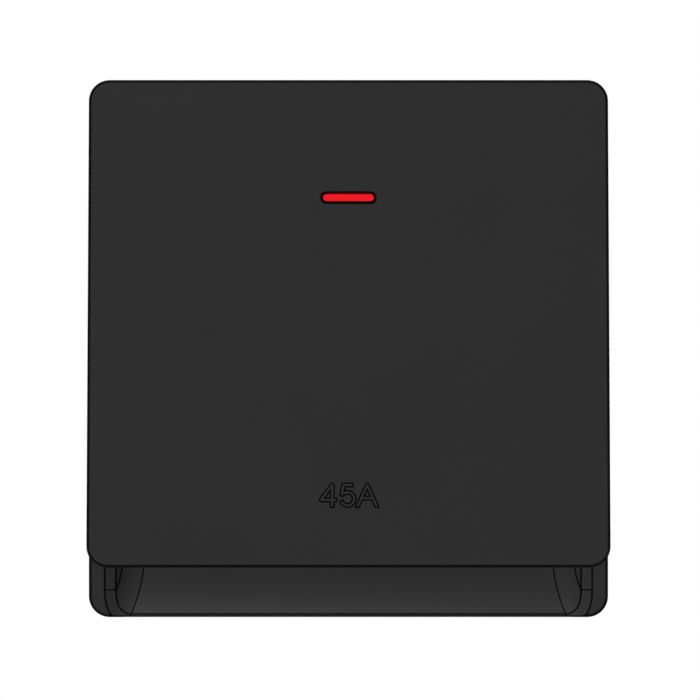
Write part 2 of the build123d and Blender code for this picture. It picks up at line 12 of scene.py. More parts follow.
import bpy
import numpy as np
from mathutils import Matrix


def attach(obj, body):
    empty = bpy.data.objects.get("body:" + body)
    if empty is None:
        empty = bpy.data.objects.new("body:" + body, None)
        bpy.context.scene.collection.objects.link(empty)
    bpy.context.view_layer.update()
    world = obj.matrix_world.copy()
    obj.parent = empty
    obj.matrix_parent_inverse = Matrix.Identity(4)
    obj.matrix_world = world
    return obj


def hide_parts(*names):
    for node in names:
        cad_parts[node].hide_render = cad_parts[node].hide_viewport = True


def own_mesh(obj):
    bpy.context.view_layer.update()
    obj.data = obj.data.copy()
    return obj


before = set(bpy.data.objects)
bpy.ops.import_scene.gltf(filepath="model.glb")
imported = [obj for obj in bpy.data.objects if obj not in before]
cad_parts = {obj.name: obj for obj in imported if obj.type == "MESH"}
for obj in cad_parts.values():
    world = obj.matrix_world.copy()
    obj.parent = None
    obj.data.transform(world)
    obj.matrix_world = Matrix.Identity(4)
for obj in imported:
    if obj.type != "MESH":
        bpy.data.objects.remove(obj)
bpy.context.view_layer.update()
LOG = logging.getLogger("switch")
MM = 0.001

# The rocker's axis and face in front of the wall, in millimetres, and its tilt at rest in degrees.
PIVOT_FRONT = 4.6
FACE_FRONT = 13.0
ROCKER_TILT = -3.0

Colour = tuple[float, float, float]
Point = tuple[float, float, float]


class Body(Enum):
    """CAD bodies that new pieces ride on."""

    BASE = "base"
    ROCKER = "rocker"


class Slot(Enum):
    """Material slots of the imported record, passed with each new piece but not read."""

    BLACK_PLASTIC = "black_plastic"
    ZINC_STEEL = "zinc_steel"
    SPRING_STEEL = "spring_steel"


class Lay(Enum):
    """Direction of the fine lines on a worked metal, as stretches of the grain along X, Y and Z."""

    ROLLED_ALONG_Z = (1.0, 1.0, 0.06)
    DRAWN_ALONG_Y = (1.0, 0.08, 1.0)
    TUMBLED = (1.0, 1.0, 1.0)


class Sock:
    """One node output. Arithmetic on it adds Math nodes to its tree."""

    def __init__(self, tree: bpy.types.NodeTree, output: bpy.types.NodeSocket) -> None:
        """Keeps the tree and the output."""
        self.tree = tree
        self.output = output

    def other(self, name: str) -> "Sock":
        """Another output of the same node."""
        return Sock(self.tree, self.output.node.outputs[name])

    def math(self, operation: str, first: "Value", second: "Value", clamp: bool = False) -> "Sock":
        """Adds one Math node.

        Args:
            operation: Name of the operation.
            first: Left operand.
            second: Right operand.
            clamp: Whether the result is kept between 0 and 1.

        Returns:
            The node's result.
        """
        node = self.tree.nodes.new("ShaderNodeMath")
        node.operation = operation
        node.use_clamp = clamp
        for socket, value in zip(node.inputs, (first, second)):
            if isinstance(value, Sock):
                self.tree.links.new(value.output, socket)
            else:
                socket.default_value = value
        return Sock(self.tree, node.outputs[0])

    def __add__(self, value: "Value") -> "Sock":
        """The sum."""
        return self.math("ADD", self, value)

    def __radd__(self, value: "Value") -> "Sock":
        """The sum, from the right."""
        return self.math("ADD", value, self)

    def __sub__(self, value: "Value") -> "Sock":
        """The difference."""
        return self.math("SUBTRACT", self, value)

    def __rsub__(self, value: "Value") -> "Sock":
        """The difference, from the right."""
        return self.math("SUBTRACT", value, self)

    def __mul__(self, value: "Value") -> "Sock":
        """The product."""
        return self.math("MULTIPLY", self, value)

    def __rmul__(self, value: "Value") -> "Sock":
        """The product, from the right."""
        return self.math("MULTIPLY", value, self)

    def __truediv__(self, value: "Value") -> "Sock":
        """The quotient."""
        return self.math("DIVIDE", self, value)

    def __rtruediv__(self, value: "Value") -> "Sock":
        """The quotient, from the right."""
        return self.math("DIVIDE", value, self)

    def __pow__(self, value: "Value") -> "Sock":
        """The power."""
        return self.math("POWER", self, value)

    def __rpow__(self, value: "Value") -> "Sock":
        """The power, from the right."""
        return self.math("POWER", value, self)

    def __gt__(self, value: "Value") -> "Sock":
        """1 where this is the greater."""
        return self.math("GREATER_THAN", self, value)

    def __lt__(self, value: "Value") -> "Sock":
        """1 where this is the smaller."""
        return self.math("LESS_THAN", self, value)

    def either(self, value: "Value") -> "Sock":
        """The larger of this and another value."""
        return self.math("MAXIMUM", self, value)

    def lesser(self, value: "Value") -> "Sock":
        """The smaller of this and another value."""
        return self.math("MINIMUM", self, value)

    def size(self) -> "Sock":
        """This value without its sign."""
        return self.math("ABSOLUTE", self, 0.0)

    def near(self, reach: float) -> "Sock":
        """1 at zero, falling to 0 at a reach on either side."""
        return 1.0 - self.size().ramp(0.5 * reach, reach)

    def ramp(self, low: float, high: float) -> "Sock":
        """0 below low, 1 above high and straight between."""
        return self.math("MULTIPLY", self - low, 1.0 / (high - low), clamp=True)


Value = float | Sock


class Graph:
    """Node tree of a material or the world, filled from nothing."""

    def __init__(self, tree: bpy.types.NodeTree) -> None:
        """Empties the tree."""
        self.tree = tree
        tree.nodes.clear()

    def add(
        self,
        kind: str,
        settings: dict[str, object] | None = None,
        inputs: dict[str | int, object] | None = None,
        output: str | int = 0,
    ) -> Sock:
        """Adds one node.

        Args:
            kind: Node type.
            settings: Attributes of the node, set before its sockets.
            inputs: Values or links by socket name or number.
            output: Name or number of the output that is returned.

        Returns:
            That output.
        """
        node = self.tree.nodes.new(kind)
        for name, value in (settings or {}).items():
            setattr(node, name, value)
        for name, value in (inputs or {}).items():
            if isinstance(value, Sock):
                self.tree.links.new(value.output, node.inputs[name])
            else:
                node.inputs[name].default_value = value
        return Sock(self.tree, node.outputs[output])

    def end(self, kind: str, surface: Sock) -> None:
        """Adds the tree's output node and links its surface."""
        node = self.tree.nodes.new(kind)
        self.tree.links.new(surface.output, node.inputs["Surface"])

    def place(self) -> Sock:
        """Object coordinates, in metres."""
        return self.add("ShaderNodeTexCoord", output="Object")

    def axis(self, name: str) -> Sock:
        """One object coordinate."""
        return self.add("ShaderNodeSeparateXYZ", inputs={0: self.place()}, output=name)

    def noise(self, size: float, detail: float = 2.0, stretch: Point = (1.0, 1.0, 1.0)) -> Sock:
        """Cloudy noise.

        Args:
            size: Size of one cloud, in millimetres.
            detail: Octaves.
            stretch: Factors on the coordinates.

        Returns:
            The noise, about 0.5 in the mean.
        """
        settings = {"operation": "MULTIPLY"}
        place = self.add("ShaderNodeVectorMath", settings, {0: self.place(), 1: stretch})
        inputs = {"Vector": place, "Scale": 1.0 / (size * MM), "Detail": detail}
        return self.add("ShaderNodeTexNoise", inputs=inputs)

    def mix(self, factor: Value, first: object, second: object) -> Sock:
        """Mixes two colours."""
        inputs = {0: factor, 6: first, 7: second}
        return self.add("ShaderNodeMix", {"data_type": "RGBA"}, inputs, output=2)

    def bump(self, height: Sock, distance: float, strength: float = 1.0) -> Sock:
        """Normal of a relief whose full height is a distance in millimetres."""
        inputs = {"Height": height, "Distance": distance * MM, "Strength": strength}
        return self.add("ShaderNodeBump", inputs=inputs)


def rgba(colour: Colour, factor: float = 1.0) -> tuple[float, float, float, float]:
    """A colour times a factor, with full alpha."""
    return tuple(min(part * factor, 1.0) for part in colour) + (1.0,)


@dataclass(frozen=True)
class Finish:
    """A surface finish that makes one material."""

    name: str
    colour: Colour
    roughness: float

    def material(self) -> bpy.types.Material:
        """Makes the material on first use.

        Returns:
            The material.
        """
        found = bpy.data.materials.get(self.name)
        if found:
            return found
        made = bpy.data.materials.new(self.name)
        made.use_nodes = True
        graph = Graph(made.node_tree)
        graph.end("ShaderNodeOutputMaterial", self.surface(graph))
        made.diffuse_color = rgba(self.colour)
        made.roughness = self.roughness
        return made

    def surface(self, graph: Graph) -> Sock:
        """The surface shader."""
        return graph.add("ShaderNodeBsdfPrincipled", inputs=self.inputs(graph))

    def inputs(self, graph: Graph) -> dict[str | int, object]:
        """Sockets of the surface shader.

        Args:
            graph: Tree that the nodes go in.

        Returns:
            Values and links by socket name.
        """
        raise NotImplementedError


@dataclass(frozen=True)
class MouldedPlastic(Finish):
    """Plastic from a spark eroded mould: fine grain, faint clouds of shade and sheen."""

    grain: float = 0.16
    relief: float = 0.006
    mottle: float = 0.06
    cloud: float = 18.0
    specular: float = 0.1
    grain_share: float = 0.25
    grain_sheen: float = 0.1
    cloud_sheen: float = 0.08

    def inputs(self, graph: Graph) -> dict[str | int, object]:
        """Grain drives bump and roughness, clouds drive shade.

        Args:
            graph: Tree that the nodes go in.

        Returns:
            Values and links by socket name.
        """
        grain = graph.noise(self.grain, 3.0)
        cloud = graph.noise(self.cloud, 4.0)
        shade = (1 - self.grain_share) * cloud + self.grain_share * grain
        colour = graph.mix(shade, rgba(self.colour, 1 - self.mottle), rgba(self.colour, 1 + self.mottle))
        sheen = self.roughness + self.grain_sheen * (grain - 0.5) + self.cloud_sheen * (cloud - 0.5)
        return {
            "Base Color": colour,
            "Roughness": sheen,
            "Specular IOR Level": self.specular,
            "Normal": graph.bump(grain, self.relief),
        }


@dataclass(frozen=True)
class PaintedShadeEdgePlastic(MouldedPlastic):
    """Moulded plastic with painted shade on its edges and creases, where a near black matt shader is mixed in.

    A place is on an edge where the surface's direction, averaged over a short reach, departs from its
    own. The painted shade starts at a slight departure and is full at a larger one, both in degrees.
    """

    painted_shade: float = 0.03
    reach: float = 0.4
    slight: float = 0.8
    full: float = 1.8
    rays: int = 12
    dullness: float = 0.9

    def surface(self, graph: Graph) -> Sock:
        """Mixes the moulded plastic with its painted shade on edges and creases.

        Args:
            graph: Tree that the nodes go in.

        Returns:
            The surface shader.
        """
        face = super().surface(graph)
        grain = graph.noise(self.grain, 3.0)
        # Painted shade: the plastic's own colour brought down to a few per cent, for edges and creases.
        painted_shade = graph.mix(grain, rgba(self.colour, self.painted_shade), rgba(self.colour, 2 * self.painted_shade))
        sockets = {"Base Color": painted_shade, "Roughness": self.dullness, "Specular IOR Level": 0.0}
        matt = graph.add("ShaderNodeBsdfPrincipled", inputs=sockets)
        return graph.add("ShaderNodeMixShader", inputs={0: self.edge(graph), 1: face, 2: matt})

    def edge(self, graph: Graph) -> Sock:
        """Takes the cosine between the averaged direction and the surface's own.

        Args:
            graph: Tree that the nodes go in.

        Returns:
            Share of the painted shade, from 0 to 1.
        """
        average = graph.add("ShaderNodeBevel", {"samples": self.rays}, {"Radius": self.reach * MM})
        own = graph.add("ShaderNodeNewGeometry", output="Normal")
        settings = {"operation": "DOT_PRODUCT"}
        cosine = graph.add("ShaderNodeVectorMath", settings, {0: average, 1: own}, "Value")
        return (1.0 - cosine).ramp(1 - cos(radians(self.slight)), 1 - cos(radians(self.full)))


@dataclass(frozen=True)
class MarkPlastic(PaintedShadeEdgePlastic):
    """Plastic of a relief whose own flank attribute tells how much painted shade each place on its flanks
    gets.
    """

    def edge(self, graph: Graph) -> Sock:
        """The mesh's flank attribute, the share of painted shade on the letters' flanks."""
        return graph.add("ShaderNodeAttribute", {"attribute_name": "flank"}, output="Fac")


@dataclass(frozen=True)
class ScoopPlastic(PaintedShadeEdgePlastic):
    """Plastic of the frame with painted shade on its edges, and painted shade lines also where the scoop's
    faces run smoothly together.

    The scoop is a round hollow about an axis along X between two walls slanted at 45 degrees. A ball
    that rolls along hollow and wall makes the blend between them, and touches each along a line. The
    sizes are those of the solids. A front is a distance from the plane of the house wall.
    """

    axis_front: float = 25.8
    axis_height: float = -34.125
    hollow: float = 22.0
    ball: float = 4.8
    half_width: float = 32.6
    opening: float = 6.4
    band_width: float = 1.8
    lip_height: float = -44.5
    line: float = 0.14
    slack: float = 0.15
    lip_shown: float = 0.4

    def edge(self, graph: Graph) -> Sock:
        """Adds the painted shade lines of the scoop to the painted shade of the edges.

        Args:
            graph: Tree that the nodes go in.

        Returns:
            Share of the painted shade, from 0 to 1.
        """
        across = graph.axis("X").size() / MM
        front = graph.axis("Y") / -MM
        up = graph.axis("Z") / MM
        # Painted shade lines along the scoop's blends and the outline of its opening.
        lines = self.blend_lines(across, front, up).either(self.band_lines(across, front, up))
        return super().edge(graph).either(lines)

    def blend_lines(self, across: Sock, front: Sock, up: Sock) -> Sock:
        """Paints shade lines where the rolling ball touches the hollow and the slanted wall.

        Its centre keeps the ball's radius from both. The touch on the hollow lies on the line from the
        axis through that centre, and the touch on the wall square to the wall below it.

        Args:
            across: Distance from the middle, to either side.
            front: Distance from the plane of the house wall.
            up: Height.

        Returns:
            1 on the two lines.
        """
        rolled = self.hollow - self.ball
        down = (up - self.axis_height).lesser(0.0)
        back = self.axis_front - front
        on_hollow = ((back * back + down * down) ** 0.5 - self.hollow).near(self.slack)
        ball_front = self.axis_front - rolled / self.hollow * back
        off_ball = across - ball_front + (2 * self.ball / sqrt(2) - self.half_width)
        on_wall = (across - front - self.half_width).near(self.slack)
        ball_back = back - self.ball / sqrt(2)
        off_wall = (ball_back * ball_back + down * down) ** 0.5 - rolled
        return (on_hollow * off_ball.near(self.line)).either(on_wall * off_wall.near(self.line))

    def band_lines(self, across: Sock, front: Sock, up: Sock) -> Sock:
        """Paints shade lines on the outline of the scoop's opening and on the joint of the band at the lower
        corners.

        The joint lies level with the end of the blend's line on the wall, where that meets the opening.

        Args:
            across: Distance from the middle, to either side.
            front: Distance from the plane of the house wall.
            up: Height.

        Returns:
            1 on the lines.
        """
        inner = self.half_width + self.opening
        outer = inner + self.band_width
        inside = (across < outer) * (up > self.lip_height - self.lip_shown)
        outline = (front - self.opening).near(self.line / 2) * inside
        rolled = self.hollow - self.ball
        ball_back = self.axis_front - self.opening - self.ball / sqrt(2)
        corner = self.axis_height - sqrt(rolled * rolled - ball_back * ball_back)
        on_band = (across > inner) * (across < outer) * (front > self.opening)
        return outline.either((up - corner).near(self.line) * on_band)


@dataclass(frozen=True)
class LensPlastic(Finish):
    """Polished red light guide, deeper in colour towards its rim, with the part beyond the guide painted near
    black as shade in the gap round it.
    """

    height: float = 0.0
    half_length: float = 3.625
    half_width: float = 0.575
    rim_from: float = 0.75
    rim_to: float = 1.06
    depth: float = 0.85
    painted_flange_shade: float = 0.01
    specular: float = 0.05
    haze: float = 1.5
    haze_sheen: float = 0.06
    haze_relief: float = 0.004

    def inputs(self, graph: Graph) -> dict[str | int, object]:
        """Distance from the stadium's spine deepens the red.

        Args:
            graph: Tree that the nodes go in.

        Returns:
            Values and links by socket name.
        """
        x = graph.axis("X") / MM
        z = graph.axis("Z") / MM - self.height
        beyond = (x.size() - self.half_length).either(0.0)
        off = (beyond * beyond + z * z) ** 0.5
        rim = off.ramp(self.rim_from * self.half_width, self.half_width)
        haze = graph.noise(self.haze, 3.0)
        red = graph.mix(rim, rgba(self.colour), rgba(self.colour, self.depth))
        # Painted shade: beyond the guide's outline the red drops near black, where the gap round the lens
        # would lie in shadow.
        colour = graph.mix(off > self.rim_to * self.half_width, red, rgba(self.colour, self.painted_flange_shade))
        return {
            "Base Color": colour,
            "Roughness": self.roughness + self.haze_sheen * haze,
            "Specular IOR Level": self.specular,
            "Normal": graph.bump(haze, self.haze_relief),
        }


@dataclass(frozen=True)
class WorkedMetal(Finish):
    """Metal with fine lines along its working direction and patches of dull tarnish."""

    lay: Lay = Lay.TUMBLED
    line: float = 0.12
    relief: float = 0.004
    tarnish: float = 0.35
    patch: float = 3.0
    patch_from: float = 0.42
    patch_to: float = 0.72
    bright: float = 1.05
    dulled: float = 0.6
    line_sheen: float = 0.14
    dull_sheen: float = 0.2

    def inputs(self, graph: Graph) -> dict[str | int, object]:
        """Lines drive bump and roughness, tarnish darkens and dulls.

        Args:
            graph: Tree that the nodes go in.

        Returns:
            Values and links by socket name.
        """
        lines = graph.noise(self.line, 4.0, self.lay.value)
        patch = graph.noise(self.patch, 5.0).ramp(self.patch_from, self.patch_to)
        dull = self.tarnish * patch
        colour = graph.mix(dull, rgba(self.colour, self.bright), rgba(self.colour, self.dulled))
        return {
            "Base Color": colour,
            "Metallic": 1.0,
            "Roughness": self.roughness + self.line_sheen * (lines - 0.5) + self.dull_sheen * dull,
            "Normal": graph.bump(lines, self.relief),
        }


@dataclass(frozen=True)
class LampGlass(Finish):
    """Drawn glass with faint streaks."""

    clear: float = 0.85
    streak: float = 0.8
    stretch: Point = (0.2, 1.0, 1.0)
    tinge: float = 0.97
    streak_sheen: float = 0.04
    relief: float = 0.01

    def inputs(self, graph: Graph) -> dict[str | int, object]:
        """Streaks along the tube drive bump and roughness.

        Args:
            graph: Tree that the nodes go in.

        Returns:
            Values and links by socket name.
        """
        streak = graph.noise(self.streak, 3.0, self.stretch)
        tint = graph.mix(streak, rgba(self.colour, self.tinge), rgba(self.colour))
        return {
            "Base Color": tint,
            "Roughness": self.roughness + self.streak_sheen * streak,
            "Transmission Weight": self.clear,
            "Normal": graph.bump(streak, self.relief),
        }


@dataclass(frozen=True)
class BandedLacquer(Finish):
    """Lacquered resistor with four colour bands round it."""

    first: float = 7.7
    pitch: float = 0.95
    width: float = 0.42
    bands: tuple[Colour, ...] = (
        (0.35, 0.12, 0.03),
        (0.02, 0.02, 0.02),
        (0.8, 0.45, 0.02),
        (0.55, 0.4, 0.08),
    )
    cloud: float = 0.7
    pale: float = 1.08
    deep: float = 0.88
    cloud_sheen: float = 0.1
    relief: float = 0.02

    def inputs(self, graph: Graph) -> dict[str | int, object]:
        """Bands lie at steps along X over a cloudy lacquer.

        Args:
            graph: Tree that the nodes go in.

        Returns:
            Values and links by socket name.
        """
        x = graph.axis("X") / MM
        cloud = graph.noise(self.cloud, 3.0)
        colour = graph.mix(cloud, rgba(self.colour, self.deep), rgba(self.colour, self.pale))
        for number, band in enumerate(self.bands):
            start = self.first + number * self.pitch
            inside = (x > start) * (x < start + self.width)
            colour = graph.mix(inside, colour, rgba(band))
        return {
            "Base Color": colour,
            "Roughness": self.roughness + self.cloud_sheen * cloud,
            "Normal": graph.bump(cloud, self.relief),
        }


@dataclass(frozen=True)
class FadingPaint(MouldedPlastic):
    """Matt floor paint that thins out to nothing with the distance from the middle, in metres.

    It is clear from below.
    """

    full: float = 0.15
    none: float = 0.6

    def inputs(self, graph: Graph) -> dict[str | int, object]:
        """Distance from the middle drives the alpha.

        Args:
            graph: Tree that the nodes go in.

        Returns:
            Values and links by socket name.
        """
        reach = graph.add("ShaderNodeVectorMath", {"operation": "LENGTH"}, {0: graph.place()}, "Value")
        under = graph.add("ShaderNodeNewGeometry", output="Backfacing")
        alpha = (1.0 - reach.ramp(self.full, self.none)) * (1.0 - under)
        return super().inputs(graph) | {"Alpha": alpha}


BLACK = (0.0182, 0.0182, 0.0185)
SATIN = 0.5
# These three plastics carry painted shade on edges, creases, scoop lines and the mark's flanks.
SATIN_BLACK = PaintedShadeEdgePlastic("satin_black_plastic", BLACK, SATIN)
FRAME_BLACK = ScoopPlastic("satin_black_frame", BLACK, SATIN)
MARK_BLACK = MarkPlastic("raised_mark_plastic", BLACK, SATIN)
BLACK_NYLON = MouldedPlastic(
    "matt_black_nylon", (0.02, 0.02, 0.021), 0.62, grain=0.3, relief=0.012, mottle=0.1
)
GREY_NYLON = MouldedPlastic(
    "matt_grey_nylon", (0.5, 0.5, 0.48), 0.58, grain=0.35, relief=0.014, mottle=0.05
)
WHITE_NYLON = MouldedPlastic(
    "natural_nylon", (0.72, 0.7, 0.64), 0.45, grain=0.25, relief=0.006, mottle=0.04
)
RED_LENS = LensPlastic("red_light_guide", (0.83, 0.0112, 0.0172), 0.16)
GLASS = LampGlass("lamp_glass", (0.9, 0.87, 0.83), 0.05)
LACQUER = BandedLacquer("resistor_lacquer", (0.55, 0.42, 0.25), 0.3)
TINNED = WorkedMetal("tinned_wire", (0.7, 0.7, 0.7), 0.3)
ZINC = WorkedMetal("zinc_plated_steel", (0.43, 0.44, 0.46), 0.34)
SPRING = WorkedMetal("spring_steel", (0.5, 0.5, 0.5), 0.32, Lay.DRAWN_ALONG_Y)
COPPER = WorkedMetal("rolled_copper", (0.78, 0.36, 0.2), 0.34, Lay.ROLLED_ALONG_Z)
SILVER = WorkedMetal("contact_silver", (0.85, 0.85, 0.83), 0.28)
BRASS = WorkedMetal("machined_brass", (0.72, 0.52, 0.2), 0.3, Lay.ROLLED_ALONG_Z)
FLOOR = FadingPaint("floor_paint", (0.85, 0.85, 0.85), 0.7, grain=2.0, relief=0.02, mottle=0.01)


def dress(finish: Finish, *nodes: str) -> None:
    """Gives CAD nodes a finish.

    Args:
        finish: Finish that replaces the plain one.
        nodes: Names of the nodes.
    """
    for name in nodes:
        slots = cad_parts[name].material_slots
        for slot in slots:
            slot.material = finish.material()
        LOG.info("dressed %s in %s", name, finish.name)


@dataclass
class Mesh:
    """Points and faces of one piece, joined from grids.

    Points are in millimetres. Faces may be quads and triangles.
    """

    points: np.ndarray
    faces: list[np.ndarray]

    @staticmethod
    def lathe(rows: np.ndarray, start: np.ndarray, end: np.ndarray) -> "Mesh":
        """Closes a tube of rings with one point at each end.

        Args:
            rows: Rings of points, rings x points x 3, each running round the same way.
            start: Point that closes the first ring.
            end: Point that closes the last ring.

        Returns:
            The closed mesh.
        """
        count, around = rows.shape[:2]
        number = np.arange(count * around).reshape(count, around)
        turned = np.roll(number, -1, axis=1)
        quads = np.stack([number[:-1], turned[:-1], turned[1:], number[1:]], -1).reshape(-1, 4)
        first = np.full(around, count * around)
        near = np.stack([first, turned[0], number[0]], -1)
        far = np.stack([first + 1, number[-1], turned[-1]], -1)
        points = np.vstack([rows.reshape(-1, 3), start, end])
        return Mesh(points, [quads, near, far])

    def plus(self, other: "Mesh") -> "Mesh":
        """This mesh and another in one piece."""
        moved = [faces + len(self.points) for faces in other.faces]
        return Mesh(np.vstack([self.points, other.points]), self.faces + moved)

    def shifted(self, place: Point) -> "Mesh":
        """This mesh moved by a vector."""
        return Mesh(self.points + np.array(place), self.faces)

    def tilted(self, front: float, degrees: float) -> "Mesh":
        """Turns this mesh about a line along X in front of the wall.

        Args:
            front: Distance of the line from the wall.
            degrees: Angle.

        Returns:
            The turned mesh.
        """
        turn = radians(degrees)
        y = self.points[:, 1] + front
        z = self.points[:, 2]
        turned = np.stack([
            self.points[:, 0],
            y * np.cos(turn) - z * np.sin(turn) - front,
            y * np.sin(turn) + z * np.cos(turn),
        ], -1)
        return Mesh(turned, self.faces)

    def piece(self, name: str, finish: Finish, body: Body, slot: Slot) -> bpy.types.Object:
        """Makes the object.

        Args:
            name: Name of the piece.
            finish: Its finish.
            body: CAD body that it rides on.
            slot: Material slot of the record; not used.

        Returns:
            The new object, at the origin, with its place in its mesh.
        """
        data = bpy.data.meshes.new(name)
        faces = [face for group in self.faces for face in group.tolist()]
        data.from_pydata((self.points * MM).tolist(), [], faces)
        data.shade_smooth()
        data.materials.append(finish.material())
        made = bpy.data.objects.new(name, data)
        bpy.context.scene.collection.objects.link(made)
        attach(made, body.value)
        LOG.info("built %s: %d faces", name, len(faces))
        return made


@dataclass(frozen=True)
class Stroke:
    """Centre line of one pen stroke, in units of the letter height."""

    path: tuple[tuple[float, float], ...]

    @staticmethod
    def arc(x: float, z: float, radius: float, start: float, end: float) -> "Stroke":
        """Arc about a centre between two angles in degrees."""
        turn = np.radians(np.linspace(start, end, 25))
        return Stroke(tuple(zip(x + radius * np.cos(turn), z + radius * np.sin(turn))))

    def distance(self, x: np.ndarray, z: np.ndarray, half: float) -> np.ndarray:
        """Distance of grid points to the stroke, whose two ends are cut square.

        Args:
            x: Grid of positions across.
            z: Grid of positions up.
            half: Half the width of the stroke.

        Returns:
            Grid of distances.
        """
        nearest = np.full(x.shape, np.inf)
        last = len(self.path) - 2
        for number, ((ax, az), (bx, bz)) in enumerate(zip(self.path, self.path[1:])):
            dx, dz = bx - ax, bz - az
            length = np.hypot(dx, dz)
            along = ((x - ax) * dx + (z - az) * dz) / length
            share = np.clip(along / length, 0, 1)
            off = np.hypot(x - ax - share * dx, z - az - share * dz)
            if number == 0:
                off = np.maximum(off, half - along)
            if number == last:
                off = np.maximum(off, half + along - length)
            nearest = np.minimum(nearest, off)
        return nearest


@dataclass(frozen=True)
class Letter:
    """One letter of the rating mark: its strokes and how far it reaches across."""

    strokes: tuple[Stroke, ...]
    advance: float


FOUR = Letter((
    Stroke(((0.525, -0.3), (0.525, 1.0), (0.0, 0.31), (0.0, 0.285), (0.74, 0.285))),
), 0.944)
FIVE = Letter((
    Stroke(((0.6, 1.0), (0.114, 1.0), (0.04, 0.55), (0.1, 0.555))),
    Stroke.arc(0.32, 0.33, 0.315, 135.0, -165.0),
), 0.807)
CAPITAL_A = Letter((
    Stroke(((-0.137, -0.3), (0.458, 1.0), (1.026, -0.3))),
    Stroke(((0.168, 0.368), (0.734, 0.368))),
), 0.895)


@dataclass
class RatingMark:
    """Raised current rating on the rocker's face.

    The surface is a height over a grid on the face: full height inside the strokes, falling by a
    smooth step across the flank, with the distance to the nearest stroke as the step's measure.
    """

    letters: tuple[Letter, ...] = (FOUR, FIVE, CAPITAL_A)
    height: float = 3.42
    foot: float = -0.085
    stroke: float = 0.66
    flank: float = 0.34
    rise: float = 0.16
    sink: float = 0.03
    step: float = 0.04
    # The painted shade on the flanks is full from this share of the way down each flank.
    shaded: float = 0.15
    middle_x: float = 0.07
    middle_z: float = -24.63
    face_front: float = FACE_FRONT
    pivot_front: float = PIVOT_FRONT
    tilt: float = ROCKER_TILT

    def field(self) -> tuple[np.ndarray, np.ndarray, np.ndarray]:
        """Grid on the face and the distance to the nearest stroke.

        Returns:
            Positions across, positions up and distances, in millimetres.
        """
        width = sum(letter.advance for letter in self.letters) * self.height
        margin = self.stroke
        x = np.arange(-width / 2 - margin, width / 2 + margin, self.step)
        z = np.arange(-self.height / 2 - margin, self.height / 2 + margin, self.step)
        grid_x, grid_z = np.meshgrid(x, z)
        distance = np.full(grid_x.shape, np.inf)
        left = -width / 2
        for letter in self.letters:
            across = (grid_x - left) / self.height
            up = grid_z / self.height + 0.5
            half = self.stroke / 2 / self.height
            for stroke in letter.strokes:
                distance = np.minimum(distance, stroke.distance(across, up, half) * self.height)
            left += letter.advance * self.height
        below = (self.foot - 0.5) * self.height - grid_z
        return grid_x, grid_z, np.maximum(distance, below + self.stroke / 2)

    def relief(self) -> tuple[Mesh, np.ndarray]:
        """Works out the closed relief: a top over the grid's used cells, a flat underside and a wall round it.

        Returns:
            The mesh, and for each point its share of painted shade, which rises from 0 to 1 down the flank.
        """
        x, z, distance = self.field()
        inside = np.clip((self.stroke / 2 - distance) / self.flank + 0.5, 0, 1)
        step = inside * inside * (3 - 2 * inside)
        front = self.face_front - self.sink + (self.rise + self.sink) * step
        across = x + self.middle_x
        up = z + self.middle_z
        top = np.stack([across, -front, up], -1).reshape(-1, 3)
        under_front = np.full(x.shape, -self.face_front + 2 * self.sink)
        floor = np.stack([across, under_front, up], -1).reshape(-1, 3)
        number = np.arange(x.size).reshape(x.shape)
        cells = np.stack([number[:-1, :-1], number[:-1, 1:], number[1:, 1:], number[1:, :-1]], -1)
        quads = cells[(step.ravel()[cells] > 0).any(-1)]
        edges = np.concatenate([quads[:, [side, (side + 1) % 4]] for side in range(4)])
        _, index, times = np.unique(np.sort(edges, 1), axis=0, return_index=True, return_counts=True)
        rim = edges[index[times == 1]]
        under = quads[:, ::-1] + x.size
        wall = np.stack([rim[:, 1], rim[:, 0], rim[:, 0] + x.size, rim[:, 1] + x.size], -1)
        used, renumbered = np.unique(np.concatenate([quads, under, wall]), return_inverse=True)
        points = np.vstack([top, floor])[used]
        # Painted shade on the flanks, as a near black outline round the letters.
        flank = np.clip((1 - np.concatenate([inside, inside])) / self.shaded, 0, 1).ravel()[used]
        return Mesh(points, [renumbered.reshape(-1, 4)]), flank

    def build(self) -> bpy.types.Object:
        """Makes the mark.

        Returns:
            The new piece.
        """
        mesh, flank = self.relief()
        mesh = mesh.tilted(self.pivot_front, self.tilt)
        made = mesh.piece("rating_mark", MARK_BLACK, Body.ROCKER, Slot.BLACK_PLASTIC)
        # The flank attribute carries the painted shade to the mark's material.
        attribute = made.data.attributes.new("flank", "FLOAT", "POINT")
        attribute.data.foreach_set("value", flank.astype(np.float32))
        return made


